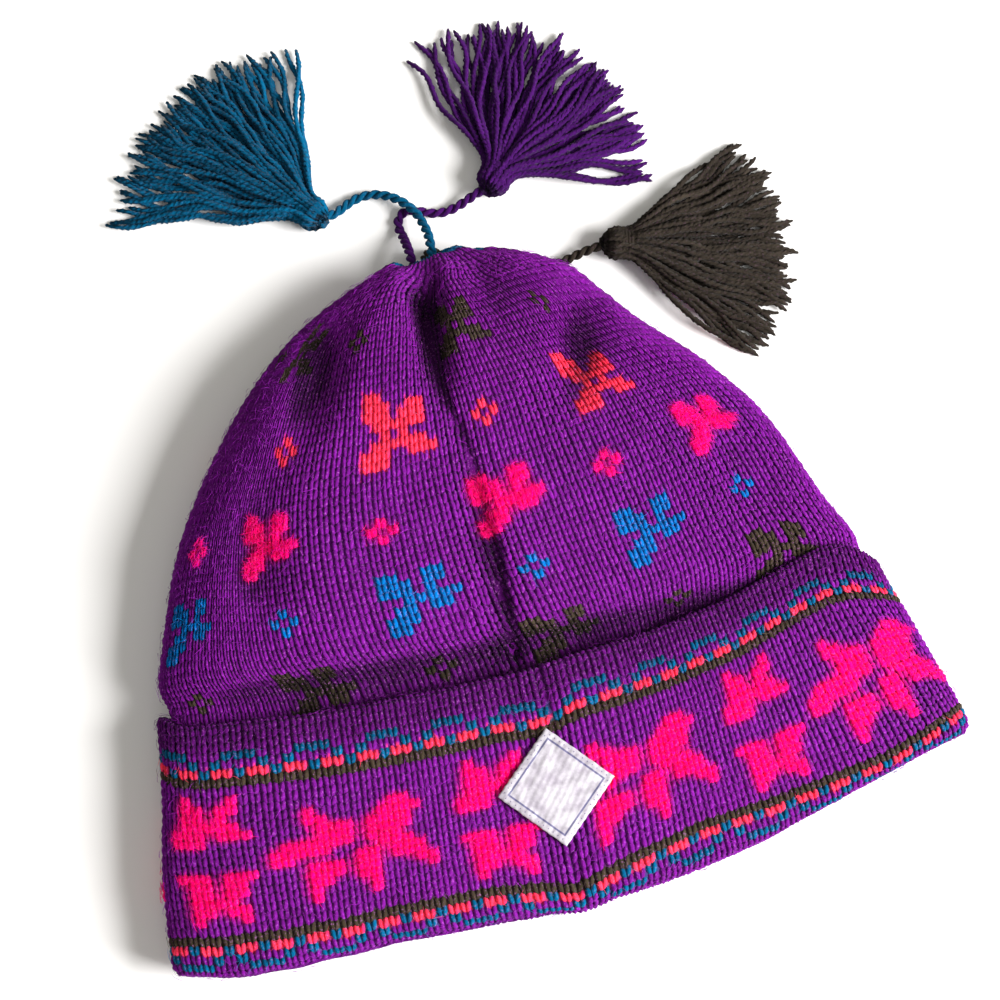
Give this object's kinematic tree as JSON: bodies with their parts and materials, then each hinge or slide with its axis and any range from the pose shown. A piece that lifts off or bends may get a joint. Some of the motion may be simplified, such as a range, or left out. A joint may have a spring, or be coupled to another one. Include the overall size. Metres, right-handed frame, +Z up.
{
  "type": "knitted ski hat with tasselled cords",
  "caption": "Knitted ski hat lying flat, with a turned-up patterned cuff, a small sewn patch and yarn tassels on short twisted cords at the gathered crown.",
  "frame": {"origin": "middle of the hat's own box without cords and tassels, on the surface that it lies on", "axes": "+X across the hat to the right as seen from the front, +Y from the hem to the gathered crown, +Z up from the surface to the front of the hat"},
  "size_m": [0.2552, 0.3089, 0.0374],
  "materials": {
    "knit_body": "stranded double knit in violet acrylic yarn with small motifs, softly brushed",
    "knit_cuff": "stranded double knit in violet acrylic yarn with pink figures and two striped bands",
    "patch_cloth": "pale silvery woven patch with a printed border line, slightly creased",
    "yarn_teal": "soft brushed two-ply yarn",
    "yarn_purple": "firm plied yarn",
    "yarn_charcoal": "plied yarn with loose fibres"
  },
  "bodies": {
    "root": {"crown": "knit_body", "cuff": "knit_cuff", "label_patch": "patch_cloth", "cord_teal": "yarn_teal", "cord_purple": "yarn_purple", "cord_charcoal": "yarn_charcoal", "tassel_teal": "yarn_teal", "tassel_purple": "yarn_purple", "tassel_charcoal": "yarn_charcoal"}
  },
  "joints": []
}
